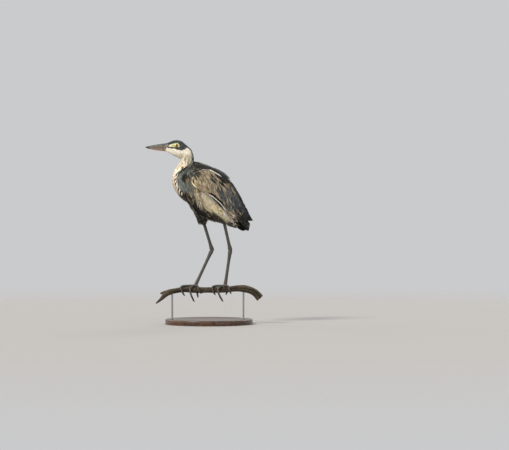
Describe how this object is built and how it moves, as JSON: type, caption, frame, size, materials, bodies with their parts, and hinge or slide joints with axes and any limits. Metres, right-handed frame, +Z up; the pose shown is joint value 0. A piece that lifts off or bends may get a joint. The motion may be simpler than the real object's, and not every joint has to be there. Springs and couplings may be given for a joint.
{
  "type": "heron display model",
  "caption": "Life-size still model of a young black-headed heron gripping a short dead branch, held above a round display base by short rods.",
  "frame": {"origin": "centre of the round base's underside, on the floor", "axes": "+Z up; the bird's body faces -Y and its left side is towards +X"},
  "size_m": [0.38, 0.4901, 0.7975],
  "materials": {
    "plumage": "matte contour feathers, slate grey above and buff to white below",
    "cap": "matte short head feathers, slate cap over white cheeks",
    "mantle": "matte wing coverts, brown grey with slate streaks",
    "quill": "faintly glossy black flight and tail feathers",
    "bill": "satin horn, dark grey above and buff below",
    "eye": "polished yellow iris with a black pupil",
    "leg": "scaled skin, grey brown",
    "claw": "satin dark horn",
    "bark": "weathered dead wood, grey brown",
    "base": "turned walnut with a satin oil finish",
    "steel": "drawn stainless steel"
  },
  "bodies": {
    "root": {"trunk": "plumage", "neck_lower": "plumage", "neck_upper": "plumage", "tail": "quill", "head": "cap", "bill_upper": "bill", "bill_lower": "bill", "eye_left": "eye", "eye_right": "eye", "wing_left": "mantle", "wing_right": "mantle", "thigh_left": "plumage", "thigh_right": "plumage", "shin_left": "leg", "shin_right": "leg", "shank_left": "leg", "shank_right": "leg", "foot_left": "leg", "foot_right": "leg", "toe_left_inner": "leg", "toe_left_middle": "leg", "toe_left_outer": "leg", "toe_left_hind": "leg", "toe_right_inner": "leg", "toe_right_middle": "leg", "toe_right_outer": "leg", "toe_right_hind": "leg", "claw_left_inner": "claw", "claw_left_middle": "claw", "claw_left_outer": "claw", "claw_left_hind": "claw", "claw_right_inner": "claw", "claw_right_middle": "claw", "claw_right_outer": "claw", "claw_right_hind": "claw", "perch": "bark", "stand_base": "base", "stand_rod_1": "steel", "stand_collar_1": "steel", "stand_rod_2": "steel", "stand_collar_2": "steel"}
  },
  "joints": []
}
